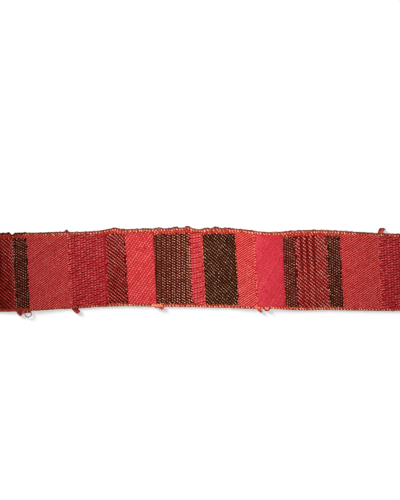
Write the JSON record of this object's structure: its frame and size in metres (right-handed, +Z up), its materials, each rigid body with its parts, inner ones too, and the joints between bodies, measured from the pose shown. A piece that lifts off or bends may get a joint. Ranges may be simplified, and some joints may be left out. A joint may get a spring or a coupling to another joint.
{
  "type": "cut length of jacquard ribbon",
  "caption": "Flat cut length of woven jacquard ribbon: crosswise blocks of twill, basket, satin and dotted weave between whipped selvedges, with loose yarn ends.",
  "frame": {"origin": "on the surface that the ribbon lies on, below the middle of its box", "axes": "+X along the ribbon, +Y across it towards its far edge, +Z up out of its face"},
  "size_m": [0.2418, 0.0442, 0.0017],
  "materials": {
    "jacquard_cloth": "woven yarn with a soft sheen, in crimson, coral, dark brown and gold"
  },
  "bodies": {
    "root": {"ribbon": "jacquard_cloth"}
  },
  "joints": []
}
